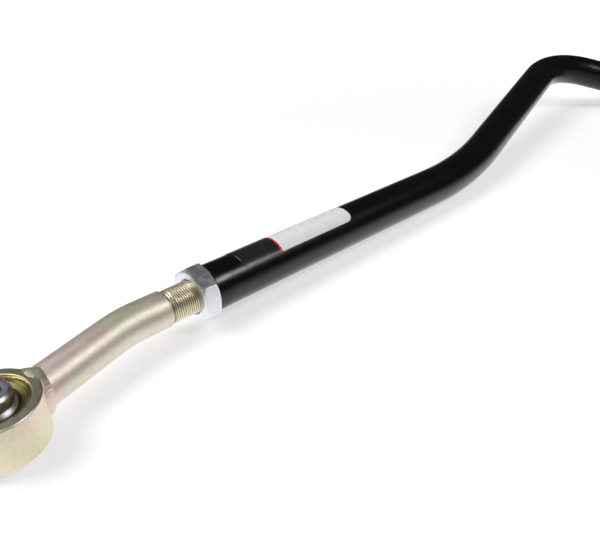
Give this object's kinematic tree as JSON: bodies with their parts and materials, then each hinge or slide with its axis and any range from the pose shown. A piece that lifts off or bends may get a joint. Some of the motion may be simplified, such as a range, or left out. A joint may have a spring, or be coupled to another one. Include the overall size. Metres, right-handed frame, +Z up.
{
  "type": "panhard rod",
  "caption": "Adjustable panhard rod: a bent round tube with a bushed eye at one end and a threaded, bent shank with a jam nut and a ball-jointed eye at the other.",
  "frame": {"origin": "centre of the near eye, on its bolt axis, half way along its sleeve", "axes": "+Z up and along both eyes' bolt axes as the rod lies at rest, +X along the tube's straight stretch from the near eye towards the far eye"},
  "size_m": [0.8395, 0.1238, 0.0652],
  "materials": {
    "black_powder_coat": "satin",
    "yellow_zinc": "satin",
    "clear_zinc": "satin",
    "bare_steel": "satin",
    "race_polymer": "matte",
    "bush_rubber": "matte",
    "label_film": "gloss"
  },
  "bodies": {
    "bar": {"bar_tube": "black_powder_coat", "label": "label_film", "far_eye_ring": "black_powder_coat", "far_weld": "black_powder_coat", "far_bush_shell": "bare_steel", "far_bush_rubber": "bush_rubber"},
    "adjuster": {"adjuster_shank": "yellow_zinc", "near_eye_ring": "yellow_zinc", "near_weld": "yellow_zinc", "retaining_washer": "yellow_zinc", "snap_ring": "yellow_zinc"},
    "jam_nut": {"jam_nut": "clear_zinc"},
    "races": {"upper_race": "race_polymer", "lower_race": "race_polymer"},
    "near_ball": {"near_ball": "bare_steel"},
    "far_sleeve": {"far_sleeve": "clear_zinc"}
  },
  "joints": [
    {"name": "adjuster_slide", "type": "slide", "parent": "bar", "child": "adjuster", "axis": [-0.9999, 0, 0.017], "range_m": [-0.008, 0.03]},
    {"name": "jam_nut_travel", "type": "slide", "parent": "bar", "child": "jam_nut", "axis": [-0.9999, 0, 0.017], "range_m": [0, 0.008]},
    {"name": "near_bolt_turn", "type": "hinge", "parent": "adjuster", "child": "races", "pos_m": [0, 0, 0], "axis": [0, 0, 1], "continuous": true},
    {"name": "near_ball_tilt", "type": "hinge", "parent": "races", "child": "near_ball", "pos_m": [0, 0, 0], "axis": [-0.2385, 0.9711, 0], "range_deg": [-10, 10]},
    {"name": "far_sleeve_twist", "type": "hinge", "parent": "bar", "child": "far_sleeve", "pos_m": [0.7872, -0.00121, 0.00295], "axis": [0, 0, 1], "range_deg": [-20, 20], "stiffness_Nm_per_rad": 60}
  ]
}
